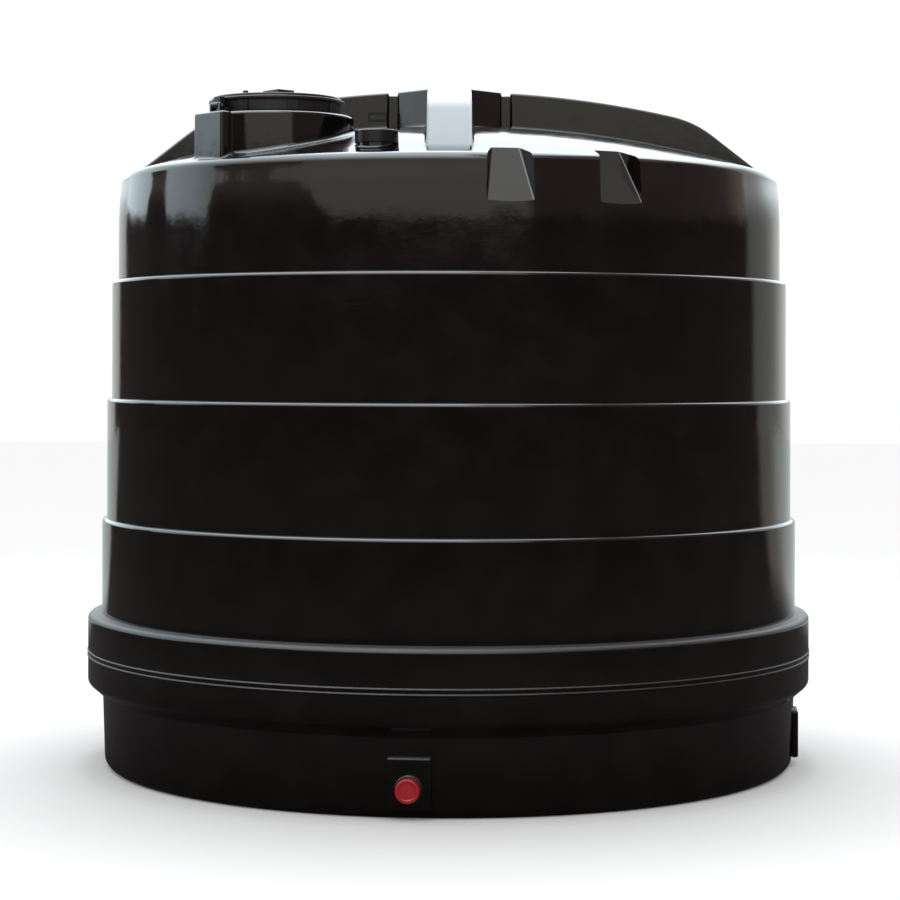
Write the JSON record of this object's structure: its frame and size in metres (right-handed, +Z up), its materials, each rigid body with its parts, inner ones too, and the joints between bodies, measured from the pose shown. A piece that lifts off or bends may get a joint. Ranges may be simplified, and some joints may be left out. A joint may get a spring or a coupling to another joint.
{
  "type": "water tank",
  "caption": "Round plastic water tank with a stepped wall, a collar at its foot, a domed roof with crossed ribs, a hinged manhole lid and a capped outlet.",
  "frame": {"origin": "on the ground at the middle of the tank's flat base", "axes": "+Z up, the outlet side looks along -Y, +X to its right"},
  "size_m": [2.762, 2.7682, 2.563],
  "materials": {
    "tank_plastic": "glossy black moulded polyethylene",
    "lid_plastic": "glossy black moulded plastic",
    "fitting_plastic": "satin black moulded plastic",
    "cap_plastic": "red moulded plastic",
    "hinge_steel": "plain steel pin"
  },
  "bodies": {
    "tank": {"base_floor": "tank_plastic", "base_wall": "tank_plastic", "collar_lower": "tank_plastic", "collar_upper": "tank_plastic", "hinge_block": "tank_plastic", "hinge_bracket": "tank_plastic", "hinge_pin": "hinge_steel", "ladder_recess_1": "tank_plastic", "ladder_recess_2": "tank_plastic", "manhole_neck": "tank_plastic", "outlet_cap": "cap_plastic", "outlet_flange": "fitting_plastic", "outlet_pad_back": "tank_plastic", "outlet_pad_front": "tank_plastic", "outlet_pad_left": "tank_plastic", "outlet_pad_right": "tank_plastic", "outlet_pipe": "fitting_plastic", "parting_seam": "tank_plastic", "rib_back": "tank_plastic", "rib_fitting": "fitting_plastic", "rib_front": "tank_plastic", "rib_left": "tank_plastic", "rib_right": "tank_plastic", "roof_hub": "tank_plastic", "roof_panel_back_left": "tank_plastic", "roof_panel_back_right": "tank_plastic", "roof_panel_front_left": "tank_plastic", "roof_panel_front_right": "tank_plastic", "shoulder": "tank_plastic", "vent_base": "tank_plastic", "vent_cap": "fitting_plastic", "wall_band_1": "tank_plastic", "wall_band_2": "tank_plastic", "wall_band_3": "tank_plastic", "wall_band_4": "tank_plastic"},
    "lid": {"lid_arm": "lid_plastic", "lid_breather": "lid_plastic", "lid_disc": "lid_plastic", "lid_grip": "lid_plastic", "lid_lugs": "lid_plastic", "lid_skirt": "lid_plastic"}
  },
  "joints": [
    {"name": "lid_hinge", "type": "hinge", "parent": "tank", "child": "lid", "pos_m": [-0.81668, -0.8593, 2.426], "axis": [0.6561, -0.7547, 0], "range_deg": [0, 105]}
  ]
}
